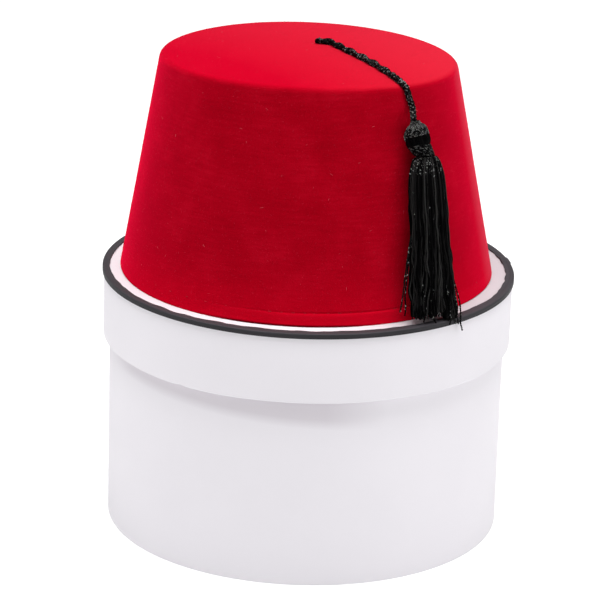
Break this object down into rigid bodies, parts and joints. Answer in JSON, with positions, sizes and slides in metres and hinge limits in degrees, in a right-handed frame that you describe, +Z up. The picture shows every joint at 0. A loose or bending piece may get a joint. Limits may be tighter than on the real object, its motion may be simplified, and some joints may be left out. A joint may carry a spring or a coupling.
{
  "type": "fez hat on a round hat box",
  "caption": "Red felt fez with a black cord and tassel, standing on a round white card hat box with a dark taped lid.",
  "frame": {"origin": "middle of the box's underside", "axes": "+Z up through the box and the hat, -Y towards the viewer of the picture, +X to their right"},
  "size_m": [0.209, 0.209, 0.2518],
  "materials": {
    "red_felt": "dense wool felt, matt, with a short nap",
    "black_cord": "twisted and braided silky cord",
    "tassel_thread": "silky thread, satin",
    "band_thread": "silky thread wound smooth, satin",
    "box_card": "smooth coated card, matt",
    "lid_card": "smooth coated card, matt",
    "dark_tape": "dark grey book cloth tape, satin"
  },
  "bodies": {
    "root": {"crown": "red_felt", "stalk": "black_cord", "tassel": "tassel_thread", "neck_band": "band_thread", "box_body": "box_card", "box_lid": "lid_card", "lid_trim": "dark_tape"}
  },
  "joints": []
}
